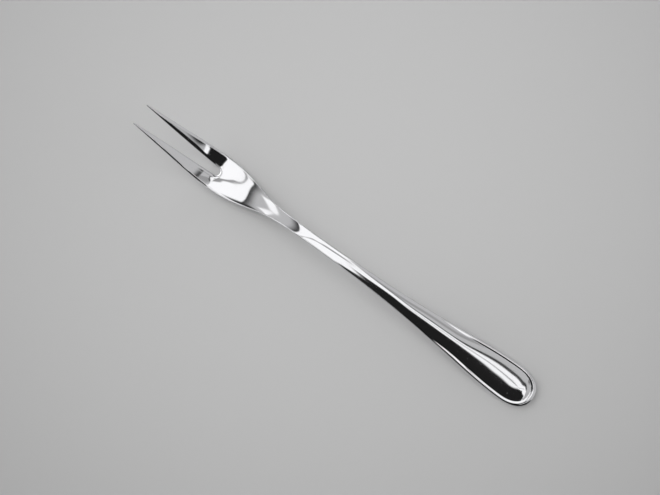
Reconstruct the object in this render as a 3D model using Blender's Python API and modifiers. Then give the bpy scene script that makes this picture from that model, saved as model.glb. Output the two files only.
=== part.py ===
"""Two-tined meat fork, forged and stamped from one bar of polished stainless steel.

Units are metres.  The fork lies face up along X, with its tine tips towards -X, its width
along Y and its handle end towards +X.  It rests on Z = 0 on the back of the bowl and on the
heel of the handle.  In the functions, "along" is the distance from the tine tips.
"""
import math

import bmesh
import bpy
import numpy as np

MM = 0.001

# Lengths along the fork, one after the other from the tips
TINE_LENGTH = 37.4 * MM
BOWL_LENGTH = 36.6 * MM
SHANK_LENGTH = 51.0 * MM
FLARE_LENGTH = 58.0 * MM
END_LENGTH = 12.0 * MM

# Widths across the whole fork
TIP_SPACING = 8.95 * MM
TINE_MID_WIDTH = 13.05 * MM
HEAD_WIDTH = 15.55 * MM
BOWL_WIDTH = 13.35 * MM
THROAT_WIDTH = 6.9 * MM
NECK_WIDTH = 5.0 * MM
SHANK_WIDTH = 5.3 * MM
FLARE_START_WIDTH = 6.95 * MM
FLARE_MID_WIDTH = 12.1 * MM
HANDLE_WIDTH = 16.35 * MM

# The gap between the tines and the points of the tines
SLOT_MID_WIDTH = 5.5 * MM
SLOT_ROOT_WIDTH = 3.3 * MM
TIP_WIDTH = 0.5 * MM
TIP_ROUND = 0.4 * MM

# Height of the back above the table, along the middle
TIP_LIFT = 16.0 * MM
TINE_MID_LIFT = 7.0 * MM
TINE_ROOT_LIFT = 1.85 * MM
BOWL_END_LIFT = 0.52 * MM
THROAT_LIFT = 2.6 * MM
NECK_LIFT = 5.7 * MM
SHANK_LIFT = 7.3 * MM
FLARE_START_LIFT = 6.2 * MM
FLARE_MID_LIFT = 2.9 * MM
END_LIFT = -0.2 * MM
REST_DEPTH = 0.15 * MM

# Thickness of the steel, along the middle
TIP_THICKNESS = 1.0 * MM
TINE_THICKNESS = 1.65 * MM
HEAD_THICKNESS = 1.95 * MM
THROAT_THICKNESS = 2.4 * MM
NECK_THICKNESS = 3.0 * MM
SHANK_THICKNESS = 3.2 * MM
FLARE_THICKNESS = 2.65 * MM
END_THICKNESS = 2.3 * MM

# How far the edges of the face and of the back stand above their middle
TINE_HOLLOW = 0.5 * MM
HEAD_HOLLOW = 1.3 * MM
THROAT_HOLLOW = 0.45 * MM
NECK_CROWN = 0.25 * MM
SHANK_CROWN = 0.5 * MM
FLARE_START_CROWN = 0.75 * MM
FLARE_CROWN = 0.6 * MM
HANDLE_CROWN = 0.48 * MM
END_CROWN = 0.62 * MM
TINE_BACK_ROUND = 0.55 * MM
HEAD_BACK_ROUND = 1.25 * MM
THROAT_BACK_ROUND = 0.75 * MM
SHANK_BACK_ROUND = 0.6 * MM
FLARE_BACK_ROUND = 0.1 * MM
HANDLE_BACK_ROUND = 0.05 * MM

# Rounded edges, and the raised bead that borders the face of the handle
TINE_EDGE_ROUND = 1.1 * MM
EDGE_ROUND = 0.55 * MM
HANDLE_EDGE_ROUND = 0.75 * MM
END_EDGE_ROUND = 1.8 * MM
TINE_INNER_ROUND = 1.5 * MM
BEAD_HEIGHT = 0.04 * MM
BEAD_WIDTH = 1.65 * MM
BEAD_END_WIDTH = 2.6 * MM

# Shape of the handle's round end: 2 is an ellipse, more is squarer
END_SQUARENESS = 2.35
# How far the spokes of the round end spread along its middle, as a share of its length
END_SPREAD = 0.35
# Where the bead is highest, as a share of its width from the outer edge
BEAD_CREST = 0.58
# Shape of the bead's inner side: 1 is straight, more is rounder
BEAD_HOLLOW = 1.25
# The most of a narrow spoke that either of its rounded edges takes
ROUND_SHARE = 0.45

# Mesh cells, along each stretch and across half of the fork
TIP_CELLS = 4
TINE_CELLS = 14
SLOT_END_CELLS = 5
BOWL_CELLS = 17
SHANK_CELLS = 10
FLARE_CELLS = 15
END_CELLS = 12
EDGE_CELLS = 4
BEAD_CELLS = 3
FACE_CELLS = 3
MIDDLE_CELLS = 3
# How much closer together the cells of the bowl lie towards the crotch
BOWL_CROWDING = 1.5
# Shares of a spoke's width for the cells next to its edge and next to its middle
EDGE_STRIP = 0.12
MIDDLE_STRIP = 0.4
# Points closer than this to the middle plane are joined to their mirror images
JOIN_DISTANCE = 0.001 * MM

# Places along the fork
CROTCH = TINE_LENGTH
NECK = CROTCH + BOWL_LENGTH
FLARE = NECK + SHANK_LENGTH
WIDEST = FLARE + FLARE_LENGTH
LENGTH = WIDEST + END_LENGTH
TINE_MID = 0.5 * TINE_LENGTH
TINE_ROOT = 0.8 * TINE_LENGTH
BOWL_BOTTOM = CROTCH + 0.21 * BOWL_LENGTH
BOWL_MID = CROTCH + 0.31 * BOWL_LENGTH
BOWL_END = CROTCH + 0.43 * BOWL_LENGTH
THROAT = CROTCH + 0.68 * BOWL_LENGTH
SHANK_MID = NECK + 0.55 * SHANK_LENGTH
FLARE_MID = FLARE + 0.53 * FLARE_LENGTH
RIM_START = FLARE + 0.19 * FLARE_LENGTH
RIM_FULL = FLARE + 0.6 * FLARE_LENGTH
BEAD_START = FLARE + 0.52 * FLARE_LENGTH
BEAD_FULL = FLARE + 0.81 * FLARE_LENGTH
HEEL = WIDEST + 0.35 * END_LENGTH
SLOT_END_RADIUS = SLOT_ROOT_WIDTH / 2
SLOT_END = CROTCH - SLOT_END_RADIUS


def smooth_curve(points, end_slope=None):
    """Give a function whose graph bends smoothly through (along, value) points."""
    along = np.array([point[0] for point in points])
    value = np.array([point[1] for point in points])
    step = np.diff(along)
    rise = np.diff(value) / step
    count = len(points)
    matrix = np.eye(count)
    target = np.zeros(count)
    for k in range(1, count - 1):
        matrix[k, k - 1:k + 2] = step[k - 1], 2 * (step[k - 1] + step[k]), step[k]
        target[k] = 6 * (rise[k] - rise[k - 1])
    if end_slope is not None:
        matrix[-1, -2:] = step[-1], 2 * step[-1]
        target[-1] = 6 * (end_slope - rise[-1])
    bend = np.linalg.solve(matrix, target)

    def curve(at):
        k = int(np.clip(np.searchsorted(along, at) - 1, 0, count - 2))
        after = (at - along[k]) / step[k]
        before = 1 - after
        cubic = (before ** 3 - before) * bend[k] + (after ** 3 - after) * bend[k + 1]
        return before * value[k] + after * value[k + 1] + cubic * step[k] ** 2 / 6

    return curve


# Outline of the fork in plan, up to the widest place of the handle
outer_edge = smooth_curve([
    (0, (TIP_SPACING + TIP_WIDTH) / 2), (TINE_MID, TINE_MID_WIDTH / 2), (CROTCH, HEAD_WIDTH / 2),
    (BOWL_MID, BOWL_WIDTH / 2), (THROAT, THROAT_WIDTH / 2), (NECK, NECK_WIDTH / 2),
    (SHANK_MID, SHANK_WIDTH / 2), (FLARE, FLARE_START_WIDTH / 2),
    (FLARE_MID, FLARE_MID_WIDTH / 2), (WIDEST, HANDLE_WIDTH / 2)], end_slope=0)

# Edge of the gap between the tines, up to where its round end starts
slot_edge = smooth_curve([
    (0, (TIP_SPACING - TIP_WIDTH) / 2), (TINE_MID, SLOT_MID_WIDTH / 2),
    (SLOT_END, SLOT_END_RADIUS)])

# Side view of the back, along the middle: it meets the table at the crotch, and dips below the
# table where it is worn flat
back_line = smooth_curve([
    (0, TIP_LIFT), (TINE_MID, TINE_MID_LIFT), (TINE_ROOT, TINE_ROOT_LIFT),
    (CROTCH, 0), (BOWL_BOTTOM, -REST_DEPTH), (BOWL_END, BOWL_END_LIFT),
    (THROAT, THROAT_LIFT), (NECK, NECK_LIFT), (SHANK_MID, SHANK_LIFT),
    (FLARE, FLARE_START_LIFT), (FLARE_MID, FLARE_MID_LIFT), (HEEL, -REST_DEPTH),
    (LENGTH, END_LIFT)])

thickness = smooth_curve([
    (0, TIP_THICKNESS), (TINE_MID, TINE_THICKNESS), (CROTCH, HEAD_THICKNESS),
    (THROAT, THROAT_THICKNESS), (NECK, NECK_THICKNESS), (SHANK_MID, SHANK_THICKNESS),
    (FLARE_MID, FLARE_THICKNESS), (LENGTH, END_THICKNESS)])

# Hollow of the face where positive, crown where negative
face_bend = smooth_curve([
    (0, 0), (TINE_MID, TINE_HOLLOW), (CROTCH, HEAD_HOLLOW), (BOWL_END, HEAD_HOLLOW),
    (THROAT, THROAT_HOLLOW), (NECK, -NECK_CROWN), (SHANK_MID, -SHANK_CROWN),
    (FLARE, -FLARE_START_CROWN), (FLARE_MID, -FLARE_CROWN), (WIDEST, -HANDLE_CROWN),
    (LENGTH, -END_CROWN)])

back_bend = smooth_curve([
    (0, 0), (TINE_MID, TINE_BACK_ROUND), (CROTCH, HEAD_BACK_ROUND), (BOWL_END, HEAD_BACK_ROUND),
    (THROAT, THROAT_BACK_ROUND), (NECK, SHANK_BACK_ROUND), (SHANK_MID, SHANK_BACK_ROUND),
    (FLARE_MID, FLARE_BACK_ROUND), (LENGTH, HANDLE_BACK_ROUND)])


def ease(at, start, end):
    """Rise smoothly from 0 at start to 1 at end."""
    share = min(max((at - start) / (end - start), 0.0), 1.0)
    return share * share * (3 - 2 * share)


def rounding(depth, radius):
    """Share of the half thickness that is left at a depth inside a rounded edge."""
    short = max(0.0, 1 - depth / radius)
    return math.sqrt(max(0.0, 1 - short * short))


def tine_edges(along):
    """Inner and outer edge of a tine, drawn in to a rounded point at its tip."""
    inner = slot_edge(along)
    outer = outer_edge(along)
    if along >= TIP_ROUND:
        return inner, outer
    middle = (inner + outer) / 2
    half = (outer - inner) / 2 * rounding(along, TIP_ROUND)
    return middle - half, middle + half


def depth_from_slot(along, across):
    """Distance in plan from the gap between the tines, which has a round end."""
    if along < SLOT_END:
        return across - slot_edge(along)
    return math.hypot(along - SLOT_END, across) - SLOT_END_RADIUS


class Spoke:
    """One straight line across half of the fork in plan, from its outer edge inwards."""

    def __init__(self, outer, inner, edge_round, on_tine=False, bead=(0.0, 0.0)):
        self.outer = outer
        self.inner = inner
        self.on_tine = on_tine
        self.bead_width, self.bead_height = bead
        self.length = math.dist(outer, inner)
        self.edge = min(edge_round, ROUND_SHARE * self.length)

    def depths(self):
        """Distances from the outer edge, closest where the surface turns most."""
        bead = max(self.bead_width, self.edge + EDGE_STRIP * (self.length - self.edge))
        middle = MIDDLE_STRIP * (self.length - bead)
        if self.on_tine:
            middle = min(TINE_INNER_ROUND, ROUND_SHARE * (self.length - bead))
        turn = [math.pi / 2 * k / EDGE_CELLS for k in range(EDGE_CELLS)]
        stops = [self.edge * (1 - math.cos(angle)) for angle in turn]
        stops += list(np.linspace(self.edge, bead, BEAD_CELLS, endpoint=False))
        stops += list(np.linspace(bead, self.length - middle, FACE_CELLS, endpoint=False))
        turn = [math.pi / 2 * k / MIDDLE_CELLS for k in range(MIDDLE_CELLS + 1)]
        if self.on_tine:
            return stops + [self.length - middle * (1 - math.sin(angle)) for angle in turn]
        return stops + list(np.linspace(self.length - middle, self.length, MIDDLE_CELLS + 1))

    def point(self, depth):
        """Place in plan at a depth from the outer edge."""
        share = depth / self.length
        along = self.outer[0] + share * (self.inner[0] - self.outer[0])
        across = self.outer[1] + share * (self.inner[1] - self.outer[1])
        return along, across

    def heights(self, depth):
        """Heights of the face and of the back at a depth from the outer edge."""
        along, across = self.point(depth)
        out = across / self.outer[1] if self.on_tine else 1 - depth / self.length
        panel = out
        bead = 0.0
        if self.bead_width:
            panel = min(1.0, (self.length - depth) / (self.length - self.bead_width))
            crest = BEAD_CREST * self.bead_width
            fall = min(max((depth - crest) / (self.bead_width - crest), 0.0), 1.0)
            bead = self.bead_height * (1 - fall ** BEAD_HOLLOW)
        back = back_line(along) + back_bend(along) * out ** 2
        face = back_line(along) + thickness(along) + face_bend(along) * panel ** 2 + bead
        left = rounding(depth, self.edge)
        inner_round = TINE_INNER_ROUND
        if self.on_tine:
            inner_round = min(inner_round, self.length - self.edge)
        left *= rounding(max(0.0, depth_from_slot(along, across)), inner_round)
        middle = (face + back) / 2
        half = (face - back) / 2 * left
        return max(middle + half, 0.0), max(middle - half, 0.0)


def outer_round(along):
    """Depth of the rounded outer edge: most on the tines, least along the shank."""
    on_shank = EDGE_ROUND + (HANDLE_EDGE_ROUND - EDGE_ROUND) * ease(along, RIM_START, RIM_FULL)
    return on_shank + (TINE_EDGE_ROUND - EDGE_ROUND) * (1 - ease(along, CROTCH, BOWL_END))


def straight_spoke(along):
    """A spoke square to the fork's length, in the bowl, the shank or the flare."""
    bead_width = BEAD_WIDTH * ease(along, RIM_START, RIM_FULL)
    bead = (bead_width, BEAD_HEIGHT * ease(along, BEAD_START, BEAD_FULL))
    return Spoke((along, outer_edge(along)), (along, 0.0), outer_round(along), bead=bead)


def end_spoke(angle):
    """A spoke of the handle's round end, at an angle from its widest place."""
    reach = math.sin(angle) ** (2 / END_SQUARENESS)
    side = max(0.0, math.cos(angle)) ** (2 / END_SQUARENESS)
    outer = (WIDEST + END_LENGTH * reach, HANDLE_WIDTH / 2 * side)
    inner = (WIDEST + END_LENGTH * reach * END_SPREAD, 0.0)
    edge_round = HANDLE_EDGE_ROUND + (END_EDGE_ROUND - HANDLE_EDGE_ROUND) * reach ** 2
    bead_width = BEAD_WIDTH + (BEAD_END_WIDTH - BEAD_WIDTH) * reach ** 2
    return Spoke(outer, inner, edge_round, bead=(bead_width, BEAD_HEIGHT))


def tine_spoke(along):
    """A spoke across one tine."""
    inner, outer = tine_edges(along)
    return Spoke((along, outer), (along, inner), outer_round(along), on_tine=True)


def slot_end_spoke(angle):
    """A spoke that ends on the round end of the gap between the tines."""
    along = SLOT_END + SLOT_END_RADIUS * math.sin(angle)
    inner = SLOT_END_RADIUS * math.cos(angle)
    return Spoke((along, outer_edge(along)), (along, inner), outer_round(along), on_tine=True)


def quarter_turn(cells):
    """Angles that share out a quarter turn, without its start."""
    return [math.pi / 2 * (k + 1) / cells for k in range(cells)]


def stretch(start, end, cells, crowding=1.0):
    """Places that share out a stretch, without its start, crowded towards the start."""
    return [start + (end - start) * ((k + 1) / cells) ** crowding for k in range(cells)]


def all_spokes():
    """Every spoke, from the first one behind the tip to the one at the handle's very end."""
    spokes = [tine_spoke(TIP_ROUND * (1 - math.cos(angle))) for angle in quarter_turn(TIP_CELLS)]
    spokes += [tine_spoke(along) for along in stretch(TIP_ROUND, SLOT_END, TINE_CELLS)]
    spokes += [slot_end_spoke(angle) for angle in quarter_turn(SLOT_END_CELLS)]
    spokes += [straight_spoke(along) for along in stretch(CROTCH, NECK, BOWL_CELLS, BOWL_CROWDING)]
    spokes += [straight_spoke(along) for along in stretch(NECK, FLARE, SHANK_CELLS)]
    spokes += [straight_spoke(along) for along in stretch(FLARE, WIDEST, FLARE_CELLS)]
    spokes += [end_spoke(angle) for angle in quarter_turn(END_CELLS)]
    return spokes


def loft_half(mesh, spokes):
    """Join the spokes into the face and back of the fork's half at positive Y."""
    tip = tine_edges(0)[0]
    tip_height = back_line(0) + thickness(0) / 2
    first = mesh.verts.new((-LENGTH / 2, tip, tip_height))
    count = len(spokes[0].depths())
    face_rows = [[first] * count]
    back_rows = [[first] * count]
    for spoke in spokes:
        face_row = []
        back_row = []
        depths = spoke.depths()
        for depth in depths:
            along, across = spoke.point(depth)
            face, back = spoke.heights(depth)
            face_row.append(mesh.verts.new((along - LENGTH / 2, across, face)))
            shared = depth == 0 or (spoke.on_tine and depth == depths[-1])
            if shared:
                back_row.append(face_row[-1])
            else:
                back_row.append(mesh.verts.new((along - LENGTH / 2, across, back)))
        face_rows.append(face_row)
        back_rows.append(back_row)
    for rows, forwards in ((face_rows, True), (back_rows, False)):
        for row, after in zip(rows, rows[1:]):
            for k in range(count - 1):
                corners = [row[k], row[k + 1], after[k + 1], after[k]]
                ring = list(dict.fromkeys(corners if forwards else reversed(corners)))
                mesh.faces.new(ring)


def polished_steel():
    """Mirror-polished stainless steel."""
    material = bpy.data.materials.new("polished_steel")
    material.use_nodes = True
    shader = material.node_tree.nodes["Principled BSDF"]
    shader.inputs["Base Color"].default_value = (0.72, 0.72, 0.73, 1.0)
    shader.inputs["Metallic"].default_value = 1.0
    shader.inputs["Roughness"].default_value = 0.08
    return material


def make_fork(collection):
    """The whole fork: one half lofted, then mirrored across its middle plane."""
    mesh = bmesh.new()
    loft_half(mesh, all_spokes())
    data = bpy.data.meshes.new("fork")
    mesh.to_mesh(data)
    mesh.free()
    data.materials.append(polished_steel())
    data.shade_smooth()
    fork = bpy.data.objects.new("fork", data)
    collection.objects.link(fork)
    mirror = fork.modifiers.new("other_half", "MIRROR")
    mirror.use_axis = (False, True, False)
    mirror.use_mirror_merge = True
    mirror.merge_threshold = JOIN_DISTANCE
    return fork


for old in list(bpy.data.objects):
    bpy.data.objects.remove(old, do_unlink=True)
meat_fork = bpy.data.collections.new("meat_fork")
bpy.context.scene.collection.children.link(meat_fork)
make_fork(meat_fork)
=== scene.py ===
"""Looks of a one-piece meat fork of polished steel that lies face up on a pale table.

Metres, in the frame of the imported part: tine tips towards -X, handle end towards +X, width
along Y, resting on Z = 0.  "Along" is the distance from the tine tips.
"""

import math

import bpy
import numpy as np
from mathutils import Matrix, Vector


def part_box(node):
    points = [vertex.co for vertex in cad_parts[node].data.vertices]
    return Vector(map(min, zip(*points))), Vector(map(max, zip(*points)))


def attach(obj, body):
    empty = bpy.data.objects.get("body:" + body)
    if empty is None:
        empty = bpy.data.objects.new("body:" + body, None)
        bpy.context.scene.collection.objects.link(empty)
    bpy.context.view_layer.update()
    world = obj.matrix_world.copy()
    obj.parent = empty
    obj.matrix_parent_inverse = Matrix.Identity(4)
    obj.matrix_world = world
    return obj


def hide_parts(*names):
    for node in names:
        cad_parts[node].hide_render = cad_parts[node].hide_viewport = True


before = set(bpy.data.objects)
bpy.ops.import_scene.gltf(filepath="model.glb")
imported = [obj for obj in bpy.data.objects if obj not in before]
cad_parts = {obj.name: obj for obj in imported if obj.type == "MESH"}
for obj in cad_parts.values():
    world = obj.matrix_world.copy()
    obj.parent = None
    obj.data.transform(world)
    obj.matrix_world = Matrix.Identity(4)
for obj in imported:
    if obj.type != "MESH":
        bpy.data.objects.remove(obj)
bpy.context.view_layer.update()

# The fork is one bar of stainless steel, rolled thin, stamped into two tines, a bowl, a shank and
# a flared handle with a raised border, and polished all over.  Nothing is fixed to it, so it is
# one mesh.  Its sizes are those of the solid, whose surface is only drawn finer here.
MM = 0.001
TINE_LENGTH = 37.4 * MM
BOWL_LENGTH = 36.6 * MM
SHANK_LENGTH = 51.0 * MM
FLARE_LENGTH = 58.0 * MM
END_LENGTH = 12.0 * MM
TIP_ROUND = 0.4 * MM
TIP_WIDTH = 0.5 * MM
TIP_SPACING = 8.95 * MM
SLOT_END_RADIUS = 1.65 * MM
REST_DEPTH = 0.15 * MM

# Places along the fork
TIP_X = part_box("fork")[0].x
CROTCH = TINE_LENGTH
NECK = CROTCH + BOWL_LENGTH
FLARE = NECK + SHANK_LENGTH
WIDEST = FLARE + FLARE_LENGTH
LENGTH = WIDEST + END_LENGTH
TINE_MID = 0.5 * TINE_LENGTH
TINE_ROOT = 0.8 * TINE_LENGTH
BOWL_BOTTOM = CROTCH + 0.21 * BOWL_LENGTH
BOWL_MID = CROTCH + 0.31 * BOWL_LENGTH
BOWL_END = CROTCH + 0.43 * BOWL_LENGTH
THROAT = CROTCH + 0.68 * BOWL_LENGTH
SHANK_MID = NECK + 0.55 * SHANK_LENGTH
FLARE_MID = FLARE + 0.53 * FLARE_LENGTH
HEEL = WIDEST + 0.35 * END_LENGTH
RIM_START = FLARE + 0.19 * FLARE_LENGTH
RIM_FULL = FLARE + 0.6 * FLARE_LENGTH
BEAD_START = FLARE + 0.52 * FLARE_LENGTH
BEAD_FULL = FLARE + 0.81 * FLARE_LENGTH
SLOT_END = CROTCH - SLOT_END_RADIUS


class Flow:
    """A socket of a node tree.  Arithmetic on it adds Math nodes to the tree."""

    def __init__(self, socket):
        self.socket = socket

    @staticmethod
    def add(tree, kind, settings=None, sockets=None, output=0):
        """Add any node: its settings first, then the values or links of its sockets."""
        node = tree.nodes.new(kind)
        for name, value in (settings or {}).items():
            setattr(node, name, value)
        for name, value in (sockets or {}).items():
            for link in value if isinstance(value, list) else [value]:
                if isinstance(link, Flow):
                    tree.links.new(link.socket, node.inputs[name])
                else:
                    node.inputs[name].default_value = link
        return Flow(node.outputs[output]) if node.outputs else node

    def output(self, name):
        """Another output of the node that this one comes from."""
        return Flow(self.socket.node.outputs[name])

    def math(self, operation, *values):
        """A Math node on this value and others."""
        sockets = dict(enumerate((self, *values)))
        return Flow.add(self.socket.id_data, "ShaderNodeMath", {"operation": operation}, sockets)

    def share(self, start, end, shape="LINEAR"):
        """How far this value has come from start to end, from 0 to 1."""
        sockets = {"Value": self, "From Min": start, "From Max": end}
        settings = {"interpolation_type": shape}
        return Flow.add(self.socket.id_data, "ShaderNodeMapRange", settings, sockets)

    def ease(self, start, end):
        """The same with a soft start and end."""
        return self.share(start, end, "SMOOTHSTEP")

    def least(self, other):
        return self.math("MINIMUM", other)

    def most(self, other):
        return self.math("MAXIMUM", other)

    def __add__(self, other):
        return self.math("ADD", other)

    def __sub__(self, other):
        return self.math("SUBTRACT", other)

    def __rsub__(self, other):
        return self.math("MULTIPLY_ADD", -1, other)

    def __mul__(self, other):
        return self.math("MULTIPLY", other)

    def __truediv__(self, other):
        return self.math("DIVIDE", other)

    def __rtruediv__(self, other):
        return self ** -1 * other

    def __pow__(self, other):
        return self.math("POWER", other)

    __radd__ = __add__
    __rmul__ = __mul__


def smooth_curve(points, end_slope=None):
    """Give a function of a Flow whose graph bends smoothly through (along, value) points."""
    along = np.array([point[0] for point in points])
    value = np.array([point[1] for point in points])
    step = np.diff(along)
    rise = np.diff(value) / step
    count = len(points)
    matrix = np.eye(count)
    target = np.zeros(count)
    for k in range(1, count - 1):
        matrix[k, k - 1:k + 2] = step[k - 1], 2 * (step[k - 1] + step[k]), step[k]
        target[k] = 6 * (rise[k] - rise[k - 1])
    if end_slope is not None:
        matrix[-1, -2:] = step[-1], 2 * step[-1]
        target[-1] = 6 * (end_slope - rise[-1])
    bend = np.linalg.solve(matrix, target)
    first = np.diff(value) - step ** 2 * (2 * bend[:-1] + bend[1:]) / 6
    second = step ** 2 * bend[:-1] / 2
    third = step ** 2 * np.diff(bend) / 6

    def curve(at):
        total = value[0]
        for k in range(count - 1):
            part = at.share(along[k], along[k + 1])
            total = total + part * (first[k] + part * (second[k] + part * third[k]))
        return total

    return curve


# Outline in plan: the outer edge up to the widest place, and the edge of the gap between the tines
outer_edge = smooth_curve([
    (0, (TIP_SPACING + TIP_WIDTH) / 2), (TINE_MID, 6.525 * MM), (CROTCH, 7.775 * MM),
    (BOWL_MID, 6.675 * MM), (THROAT, 3.45 * MM), (NECK, 2.5 * MM), (SHANK_MID, 2.65 * MM),
    (FLARE, 3.475 * MM), (FLARE_MID, 6.05 * MM), (WIDEST, 8.175 * MM)], end_slope=0)
slot_edge = smooth_curve([
    (0, (TIP_SPACING - TIP_WIDTH) / 2), (TINE_MID, 2.75 * MM), (SLOT_END, SLOT_END_RADIUS)])

# Side view of the back along the middle, which dips below the table where it is worn flat
back_line = smooth_curve([
    (0, 16.0 * MM), (TINE_MID, 7.0 * MM), (TINE_ROOT, 1.85 * MM), (CROTCH, 0),
    (BOWL_BOTTOM, -REST_DEPTH), (BOWL_END, 0.52 * MM), (THROAT, 2.6 * MM), (NECK, 5.7 * MM),
    (SHANK_MID, 7.3 * MM), (FLARE, 6.2 * MM), (FLARE_MID, 2.9 * MM), (HEEL, -REST_DEPTH),
    (LENGTH, -0.2 * MM)])
thickness = smooth_curve([
    (0, 1.0 * MM), (TINE_MID, 1.65 * MM), (CROTCH, 1.95 * MM), (THROAT, 2.4 * MM),
    (NECK, 3.0 * MM), (SHANK_MID, 3.2 * MM), (FLARE_MID, 2.65 * MM), (LENGTH, 2.3 * MM)])

# How far the edges of the face and of the back stand above their middle
face_bend = smooth_curve([
    (0, 0), (TINE_MID, 0.5 * MM), (CROTCH, 1.3 * MM), (BOWL_END, 1.3 * MM),
    (THROAT, 0.45 * MM), (NECK, -0.25 * MM), (SHANK_MID, -0.5 * MM), (FLARE, -0.75 * MM),
    (FLARE_MID, -0.6 * MM), (WIDEST, -0.48 * MM), (LENGTH, -0.62 * MM)])
back_bend = smooth_curve([
    (0, 0), (TINE_MID, 0.55 * MM), (CROTCH, 1.25 * MM), (BOWL_END, 1.25 * MM),
    (THROAT, 0.75 * MM), (NECK, 0.6 * MM), (SHANK_MID, 0.6 * MM), (FLARE_MID, 0.1 * MM),
    (LENGTH, 0.05 * MM)])

# Polished steel: faint lengthwise polishing lines, hairline scratches, dust and duller rest spots
STEEL_COLOUR = (0.76, 0.76, 0.77, 1.0)
STEEL_SHADE = (0.70, 0.70, 0.72, 1.0)
DUST_COLOUR = (0.62, 0.61, 0.60, 1.0)
DUST_COVER = 0.8
DUST_DULLING = 0.9
WAVE_HEIGHT = 0.006 * MM
POLISH_ROUGHNESS = 0.035
LINE_ROUGHNESS = 0.03
CLOUD_ROUGHNESS = 0.02
SCRATCH_ROUGHNESS = 0.05
WEAR_ROUGHNESS = 0.2
DUST_ROUGHNESS = 0.4
steel = bpy.data.materials.new("polished_steel")
steel.use_nodes = True
steel_tree = steel.node_tree
steel_place = Flow.add(steel_tree, "ShaderNodeTexCoord", output="Object")


def steel_noise(scales, detail=2.0):
    """Noise from 0 to 1 over the steel, with its own number of waves a metre along each axis."""
    place = Flow.add(steel_tree, "ShaderNodeVectorMath", {"operation": "MULTIPLY"}, {
        0: steel_place, 1: scales})
    return Flow.add(steel_tree, "ShaderNodeTexNoise", None, {
        "Vector": place, "Scale": 1.0, "Detail": detail})


def steel_colour(share, first, second):
    """Mix two colours of the steel by a share."""
    return Flow.add(steel_tree, "ShaderNodeMix", {"data_type": "RGBA"}, {
        "Factor": share, 6: first, 7: second}, output=2)


polish_lines = steel_noise((90, 3200, 3200))
clouding = steel_noise((45, 70, 70))
waviness = steel_noise((70, 120, 120), 1.0)
scratch_course = steel_noise((60, 420, 420), 1.0)
scratches = 1 - (scratch_course - 0.5).math("ABSOLUTE").ease(0.0008, 0.003)
dust_cells = Flow.add(steel_tree, "ShaderNodeTexVoronoi", None, {
    "Vector": steel_place, "Scale": 800.0})
dust_pick = Flow.add(steel_tree, "ShaderNodeSeparateColor", None, {
    "Color": dust_cells.output("Color")})
dust = (1 - dust_cells.ease(0.03, 0.09)) * dust_pick.share(0.94, 0.95)
steel_height = Flow.add(steel_tree, "ShaderNodeSeparateXYZ", None, {"Vector": steel_place}, "Z")
rest_wear = (1 - steel_height.ease(0.02 * MM, 0.4 * MM)) * polish_lines.ease(0.4, 0.6)

steel_shader = steel_tree.nodes["Principled BSDF"]
steel_shader.inputs["Metallic"].default_value = 1.0
steel_finish = {
    "Base Color": steel_colour(
        dust * DUST_COVER, steel_colour(clouding, STEEL_SHADE, STEEL_COLOUR), DUST_COLOUR),
    "Roughness": (
        POLISH_ROUGHNESS + LINE_ROUGHNESS * polish_lines + CLOUD_ROUGHNESS * clouding
        + SCRATCH_ROUGHNESS * scratches + WEAR_ROUGHNESS * rest_wear + DUST_ROUGHNESS * dust),
    "Metallic": 1 - DUST_DULLING * dust,
    "Normal": Flow.add(steel_tree, "ShaderNodeBump", None, {
        "Height": waviness, "Strength": 1.0, "Distance": WAVE_HEIGHT})}
for name, flow in steel_finish.items():
    steel_tree.links.new(flow.socket, steel_shader.inputs[name])

# Cells of the surface along each stretch of the fork, and from its edge to its middle
ALONG_CELLS = {
    "tip": 8, "tine": 110, "slot_end": 16, "bowl": 90, "shank": 60, "flare": 80, "end": 42}
ACROSS_CELLS = {"edge": 12, "bead": 10, "face": 12, "middle": 12}
BOWL_CROWDING = 1.5
FACE_CROWDING = 2.0
WELD = 0.0005 * MM
QUARTER_TURN = math.pi / 2
# Shares of a spoke for the cells next to its edge and for the most that a rounded edge takes
EDGE_STRIP = 0.12
ROUND_SHARE = 0.45
# Where the bead is highest, as a share of its width, and how hollow its inner side is
BEAD_CREST = 0.58
BEAD_HOLLOW = 1.25

fork_tree = bpy.data.node_groups.new("fork_surface", "GeometryNodeTree")
fork_sizes = {
    "Tine edge round": 1.1 * MM, "Edge round": 0.55 * MM, "Handle edge round": 0.75 * MM,
    "End edge round": 1.8 * MM, "Tine inner round": 1.5 * MM, "Bead height": 0.04 * MM,
    "Bead width": 1.65 * MM, "Bead end width": 2.6 * MM, "End squareness": 2.35,
    "End spread": 0.35}
for name in fork_sizes:
    fork_tree.interface.new_socket(name, in_out="INPUT", socket_type="NodeSocketFloat")
fork_tree.interface.new_socket("Fork", in_out="OUTPUT", socket_type="NodeSocketGeometry")
fork_input = Flow.add(fork_tree, "NodeGroupInput")
size = {name: fork_input.output(name) for name in fork_sizes}


def stretch_shares(number, cells):
    """For each stretch in turn, how far a cell number has come through it."""
    start = 0
    shares = {}
    for name, count in cells.items():
        shares[name] = number.share(start, start + count)
        start += count
    return shares


def hypotenuse(one, other):
    """Length of a slanted line from its two sides."""
    return (one * one + other * other).math("SQRT")


def rounding(depth, radius):
    """Share of the half thickness that is left at a depth inside a rounded edge."""
    short = (1 - depth / radius).most(0)
    return (1 - short * short).most(0).math("SQRT")


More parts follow.
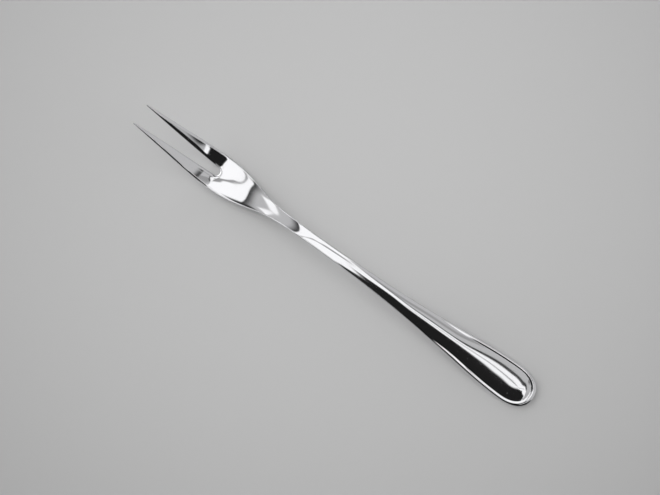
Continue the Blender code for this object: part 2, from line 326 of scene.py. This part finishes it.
# A flat grid covers half of the fork: its columns become spokes in plan from the outer edge inwards
spoke_count = sum(ALONG_CELLS.values())
step_count = sum(ACROSS_CELLS.values())
grid = Flow.add(fork_tree, "GeometryNodeMeshGrid", None, {
    "Size X": spoke_count, "Size Y": step_count,
    "Vertices X": spoke_count + 1, "Vertices Y": step_count + 1})
grid_place = Flow.add(fork_tree, "ShaderNodeSeparateXYZ", None, {
    "Vector": Flow.add(fork_tree, "GeometryNodeInputPosition")})
spoke_share = stretch_shares(grid_place + spoke_count / 2, ALONG_CELLS)
step_share = stretch_shares(grid_place.output("Y") + step_count / 2, ACROSS_CELLS)

# Both ends of each spoke
tip_turn = QUARTER_TURN * spoke_share["tip"]
slot_turn = QUARTER_TURN * spoke_share["slot_end"]
end_turn = QUARTER_TURN * spoke_share["end"]
spoke_start = (
    TIP_ROUND * (1 - tip_turn.math("COSINE"))
    + (SLOT_END - TIP_ROUND) * spoke_share["tine"]
    + SLOT_END_RADIUS * slot_turn.math("SINE")
    + BOWL_LENGTH * spoke_share["bowl"] ** BOWL_CROWDING
    + SHANK_LENGTH * spoke_share["shank"]
    + FLARE_LENGTH * spoke_share["flare"])
end_power = 2 / size["End squareness"]
end_reach = end_turn.math("SINE") ** end_power
end_side = end_turn.math("COSINE").most(0) ** end_power
tine_outer = outer_edge(spoke_start)
tine_inner = slot_edge(spoke_start)
tine_middle = (tine_outer + tine_inner) / 2
tine_half = (tine_outer - tine_inner) / 2 * tip_turn.math("SINE")
gap_edge = tine_middle - tine_half
outer_across = (tine_middle + tine_half) * end_side
inner_across = (gap_edge * slot_turn.math("COSINE")).most(0)
outer_along = spoke_start + END_LENGTH * end_reach
inner_along = spoke_start + END_LENGTH * end_reach * size["End spread"]
spoke_length = hypotenuse(outer_along - inner_along, outer_across - inner_across)

# Depth of each step from the outer edge: the edge, the bead, the face and the middle in turn
rim = spoke_start.ease(RIM_START, RIM_FULL)
end_growth = end_reach * end_reach
edge_round = (
    size["Edge round"]
    + (size["Tine edge round"] - size["Edge round"]) * (1 - spoke_start.ease(CROTCH, BOWL_END))
    + (size["Handle edge round"] - size["Edge round"]) * rim
    + (size["End edge round"] - size["Handle edge round"]) * end_growth)
edge = edge_round.least(ROUND_SHARE * spoke_length)
bead_width = (
    size["Bead width"] * rim + (size["Bead end width"] - size["Bead width"]) * end_growth)
bead_stop = bead_width.most(edge + EDGE_STRIP * (spoke_length - edge))
middle = size["Tine inner round"].least(ROUND_SHARE * (spoke_length - bead_stop))
straightness = spoke_start.share(CROTCH, BOWL_END)
middle_share = (
    step_share["middle"] * straightness
    + (QUARTER_TURN * step_share["middle"]).math("SINE") * (1 - straightness))
depth = (
    edge * (1 - (QUARTER_TURN * step_share["edge"]).math("COSINE"))
    + (bead_stop - edge) * step_share["bead"]
    + (spoke_length - middle - bead_stop) * step_share["face"] ** FACE_CROWDING
    + middle * middle_share)
depth_share = depth / spoke_length
along = outer_along + depth_share * (inner_along - outer_along)
across = outer_across + depth_share * (inner_across - outer_across)

# Heights of the face and of the back, which close up where an edge is rounded
outwards = 1 - depth_share * (1 - inner_across / outer_across)
panel = (outwards * spoke_length / (spoke_length - bead_width)).least(1)
bead_fall = depth.share(BEAD_CREST * bead_width, bead_width)
bead_height = size["Bead height"] * spoke_start.ease(BEAD_START, BEAD_FULL)
bead = bead_height * (1 - bead_fall ** BEAD_HOLLOW)
spine = back_line(along)
back = spine + back_bend(along) * outwards * outwards
face = spine + thickness(along) + face_bend(along) * panel * panel + bead
slot_depth = (hypotenuse((along - SLOT_END).most(0), across) - gap_edge).most(0)
past_tines = spoke_share["bowl"].math("GREATER_THAN", 0)
off_gap = past_tines.most(step_share["middle"].math("LESS_THAN", 1))
half_left = (face - back) / 2 * off_gap * rounding(depth, edge) * rounding(
    slot_depth, size["Tine inner round"].least(spoke_length - edge))
face_height = ((face + back) / 2 + half_left).most(0)
back_height = ((face + back) / 2 - half_left).most(0)


def sheet(height):
    """The grid laid out over half of the fork at a height."""
    place = Flow.add(fork_tree, "ShaderNodeCombineXYZ", None, {
        "X": along + TIP_X, "Y": across, "Z": height})
    return Flow.add(fork_tree, "GeometryNodeSetPosition", None, {
        "Geometry": grid, "Position": place})


def flipped(mesh):
    """The mesh with its faces turned round."""
    return Flow.add(fork_tree, "GeometryNodeFlipFaces", None, {"Mesh": mesh})


def mirrored(mesh):
    """The mesh on the other side of the fork's middle plane."""
    return Flow.add(fork_tree, "GeometryNodeTransform", None, {
        "Geometry": mesh, "Scale": (1, -1, 1)})


half_fork = Flow.add(fork_tree, "GeometryNodeJoinGeometry", None, {
    "Geometry": [flipped(sheet(face_height)), sheet(back_height)]})
whole_fork = Flow.add(fork_tree, "GeometryNodeJoinGeometry", None, {
    "Geometry": [half_fork, flipped(mirrored(half_fork))]})
welded = Flow.add(fork_tree, "GeometryNodeMergeByDistance", None, {
    "Geometry": whole_fork, "Distance": WELD})
smooth = Flow.add(fork_tree, "GeometryNodeSetShadeSmooth", None, {"Geometry": welded})
realized = Flow.add(fork_tree, "GeometryNodeRealizeInstances", None, {"Geometry": smooth})
finished = Flow.add(fork_tree, "GeometryNodeSetMaterial", None, {
    "Geometry": realized, "Material": steel})
Flow.add(fork_tree, "NodeGroupOutput", None, {"Fork": finished})

fork_piece = bpy.data.objects.new("fork_surface", bpy.data.meshes.new("fork_start"))
bpy.context.scene.collection.objects.link(fork_piece)
surface = fork_piece.modifiers.new("fork_surface", "NODES")
surface.node_group = fork_tree
for item in fork_tree.interface.items_tree:
    if item.in_out == "INPUT":
        surface[item.identifier] = fork_sizes[item.name]
evaluated = fork_piece.evaluated_get(bpy.context.evaluated_depsgraph_get())
fork_mesh = bpy.data.meshes.new_from_object(evaluated)
fork_piece.modifiers.remove(surface)
fork_piece.data = fork_mesh
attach(fork_piece, "root")
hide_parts("fork")

# The table is a wide flat sheet of matt pale grey card, under the fork and not part of it.
# Its colour has a painted pool of light: painted brighter in the middle of the view and painted
# darker towards the corners.
TABLE_HALF = 1.5
TABLE_COLOUR = (0.68, 0.68, 0.68, 1.0)
# The painted shade colour towards the corners, and the centre, reach and share of the painted pool
# of light
TABLE_PAINTED_SHADE_COLOUR = (0.36, 0.36, 0.36, 1.0)
TABLE_PAINTED_LIGHT_CENTRE = (-0.03, 0.04, 0)
TABLE_PAINTED_LIGHT_REACH = 0.19
TABLE_PAINTED_SHADE_SHARE = 0.5
TABLE_ROUGHNESS = 0.9
TABLE_GLOSS = 0.1
table_mesh = bpy.data.meshes.new("table_top")
corners = [(-1, -1), (1, -1), (1, 1), (-1, 1)]
table_mesh.from_pydata([(x * TABLE_HALF, y * TABLE_HALF, 0) for x, y in corners], [], [range(4)])
table = bpy.data.objects.new("table_top", table_mesh)
bpy.context.scene.collection.objects.link(table)
card = bpy.data.materials.new("pale_card")
card.use_nodes = True
card_tree = card.node_tree
card_place = Flow.add(card_tree, "ShaderNodeTexCoord", output="Object")
# Painted light: the card's colour darkens with the square of the distance from the painted bright
# centre, standing in for light that falls off over the table
painted_light_distance = Flow.add(card_tree, "ShaderNodeVectorMath", {"operation": "DISTANCE"}, {
    0: card_place, 1: TABLE_PAINTED_LIGHT_CENTRE}, "Value")
card_colour_with_painted_light = Flow.add(card_tree, "ShaderNodeMix", {"data_type": "RGBA"}, {
    "Factor": (painted_light_distance / TABLE_PAINTED_LIGHT_REACH) ** 2 * TABLE_PAINTED_SHADE_SHARE,
    6: TABLE_COLOUR, 7: TABLE_PAINTED_SHADE_COLOUR}, output=2)
card_shader = card_tree.nodes["Principled BSDF"]
card_shader.inputs["Roughness"].default_value = TABLE_ROUGHNESS
card_shader.inputs["Specular IOR Level"].default_value = TABLE_GLOSS
card_tree.links.new(card_colour_with_painted_light.socket, card_shader.inputs["Base Color"])
table_mesh.materials.append(card)

# The studio is a pale room with a wide white softbox overhead, a dark screen towards the handle
# end, a narrow white strip above the screen and a bright wall beyond the tines.  Angles are from
# straight up, in degrees: lean is towards the handle end and tilt towards +Y.
ROOM_LEVEL = 0.62
SOFTBOX_LEVEL = 1.3
STRIP_LEVEL = 1.25
SCREEN_LEVEL = 0.016
WALL_LEVEL = 3.0
FRAME_LEVEL = 0.04
GAP_LEVEL = 0.4
SEAM_LEVEL = 0.35
STRIP_EDGE_LEVEL = 0.05
CRESCENT_LEVEL = 0.08
DUSK_LEVEL = 0.05
FOOT_SHARE = 0.6
ROOM_DIMMING = 0.1
studio = bpy.data.worlds.new("studio")
bpy.context.scene.world = studio
studio.use_nodes = True
studio_tree = studio.node_tree
way = Flow.add(studio_tree, "ShaderNodeSeparateXYZ", None, {
    "Vector": Flow.add(studio_tree, "ShaderNodeTexCoord", output="Generated")})
lean = way.math("ARCTAN2", way.output("Z")) * math.degrees(1)
tilt = way.output("Y").math("ARCTAN2", way.output("Z")) * math.degrees(1)


def laid_over(level, mask, new_level):
    """A level of light with another laid over it where the mask is 1."""
    return level + mask * (new_level - level)


def line_along(place, course, width):
    """Mask of a soft line of a width that follows a course."""
    return 1 - (place - course).math("ABSOLUTE").ease(width * 0.35, width * 0.65)


# The softbox, with the dark band of its frame and a grey gap where its two halves meet.  The
# points of its edges are (tilt, lean).
softbox_left = smooth_curve([
    (-38, -31), (-25, -26), (-10, -23.5), (0, -23.5), (15, -25), (25, -27), (35, -29.5),
    (48, -34)])(tilt)
softbox_right = smooth_curve([
    (-45, 0.5), (-30, 1.5), (-24, 2.8), (-16, 5.2), (-8, 5), (-2, 4.4), (6, 3.4)])(tilt)
past_softbox = lean.ease(softbox_right - 0.9, softbox_right + 0.9)
in_softbox = lean.ease(softbox_left - 0.7, softbox_left + 0.7)
softbox = in_softbox * (1 - past_softbox) * tilt.ease(-42, -35) * (1 - tilt.ease(40, 48))
dark_band = lean.ease(softbox_left - 12, softbox_left) * (1 - in_softbox)
gap_course = smooth_curve([
    (-35, -23), (-22, -19), (-8, -15), (0, -12.5), (6, -10), (10, -6), (14, -2.5), (18, 0),
    (22, 8), (26, 16)])(tilt)
gap_width = smooth_curve([(-35, 2), (0, 2.6), (8, 5), (14, 8), (26, 18)])(tilt)
softbox_gap = line_along(lean, gap_course, gap_width) * (1 - tilt.ease(28, 34))

# The dark screen, whose top edge steps down where the tines reflect it, and the white strip above
# it.  The points of their edges are (lean, tilt).
screen_step = 18.7 * lean.ease(29.2, 30.2) - 8.2 * lean.ease(32.5, 38.5) - 7 * lean.ease(46, 52)
screen_top = smooth_curve([
    (6, 0.5), (8.5, 3.2), (11, 3.7), (14.4, -0.4), (17.5, 1.3), (20, 1.9), (22, 3), (24, 0),
    (26.5, -1.2), (29, -1.3)])(lean) - screen_step
screen_blur = 1.2 + 1.8 * lean.ease(30.5, 34)
screen_foot = lean.ease(3, 6) * (1 - lean.ease(13, 16)) * (1 - tilt.ease(-58, -40))
screen = past_softbox * (1 - tilt.ease(screen_top - screen_blur, screen_top + screen_blur)) * (
    1 - screen_foot * FOOT_SHARE)
strip_top = smooth_curve([
    (3, 32), (6, 24.5), (9.4, 21), (12.5, 15.7), (16, 11.8), (18.5, 12.3), (21, 12.9),
    (24, 11), (27, 8.3), (29.5, 5), (31.5, 1)])(lean)
strip = past_softbox * (1 - lean.ease(30.5, 32.5)) * tilt.ease(-6, -3) * (
    1 - tilt.ease(strip_top - 0.7, strip_top + 0.3))
strip_edge = line_along(tilt, strip_top + 1.2, 3.2) * lean.ease(4, 8) * (1 - lean.ease(25, 31))
seam_course = smooth_curve([(13, 4.5), (16.4, 5.9), (21, 8.3)])(lean)
strip_seam = line_along(tilt, seam_course, 1.4) * lean.ease(13.2, 14.2) * (
    1 - lean.ease(21.5, 23))

# Smaller shapes that the tines, the throat and the upper edges show, and the wall
zigzag = lean.ease(29.4, 30.4) * (1 - lean.ease(33.2, 34.2)) * tilt.ease(-21, -19) * (
    1 - tilt.ease(-10, -7))
crescent = lean.ease(22, 23) * (1 - lean.ease(24.5, 31)) * tilt.ease(17, 21) * (
    1 - tilt.ease(34, 40))
chevron_edge = -42.7 + 0.16 * (tilt - 7).math("ABSOLUTE")
chevron = (1 - lean.ease(chevron_edge - 0.4, chevron_edge + 0.4)) * lean.ease(-46.5, -45) * (
    tilt.ease(-30, -24) * (1 - tilt.ease(26, 32)))
upper_dusk = lean.ease(-48, -44) * (1 - lean.ease(-2, 3)) * tilt.ease(38, 46)
wall = 1 - lean.ease(-60, -52)

# The layers of light, each over those before it
light = ROOM_LEVEL - ROOM_DIMMING * lean.ease(26, 32) * (1 - tilt.ease(0, 12))
for mask, level in [
        (wall, WALL_LEVEL), (dark_band, FRAME_LEVEL), (softbox, SOFTBOX_LEVEL),
        (softbox_gap, GAP_LEVEL), (strip, STRIP_LEVEL), (strip_seam, SEAM_LEVEL),
        (strip_edge, STRIP_EDGE_LEVEL), (crescent, CRESCENT_LEVEL), (chevron, SOFTBOX_LEVEL),
        (upper_dusk, DUSK_LEVEL), (screen, SCREEN_LEVEL), (zigzag, SOFTBOX_LEVEL)]:
    light = laid_over(light, mask, level)
background = studio_tree.nodes["Background"]
background.inputs["Color"].default_value = (1, 1, 1, 1)
studio_tree.links.new(light.socket, background.inputs["Strength"])

# The camera looks down on the table from almost straight above, turned so that the fork lies from
# the upper left to the lower right.
CAMERA_ELEVATION = math.radians(86)
CAMERA_TURN = math.radians(35.75)
CAMERA_DISTANCE = 472.1 * MM
CAMERA_AIM = Vector((-5.38 * MM, 1.88 * MM, 0))
CAMERA_LENS = 62.73
CAMERA_CLIP_START = 10 * MM
picture_up = Vector((-math.sin(CAMERA_TURN), math.cos(CAMERA_TURN), 0))
view_back = (
    Vector((0, 0, math.sin(CAMERA_ELEVATION))) - math.cos(CAMERA_ELEVATION) * picture_up)
camera_data = bpy.data.cameras.new("camera")
camera_data.lens = CAMERA_LENS
camera_data.sensor_fit = "HORIZONTAL"
camera_data.clip_start = CAMERA_CLIP_START
camera = bpy.data.objects.new("camera", camera_data)
bpy.context.scene.collection.objects.link(camera)
camera.location = CAMERA_AIM + CAMERA_DISTANCE * view_back
camera.rotation_euler = (-view_back).to_track_quat("-Z", "Y").to_euler()
bpy.context.scene.camera = camera
bpy.context.scene.view_settings.view_transform = "Standard"
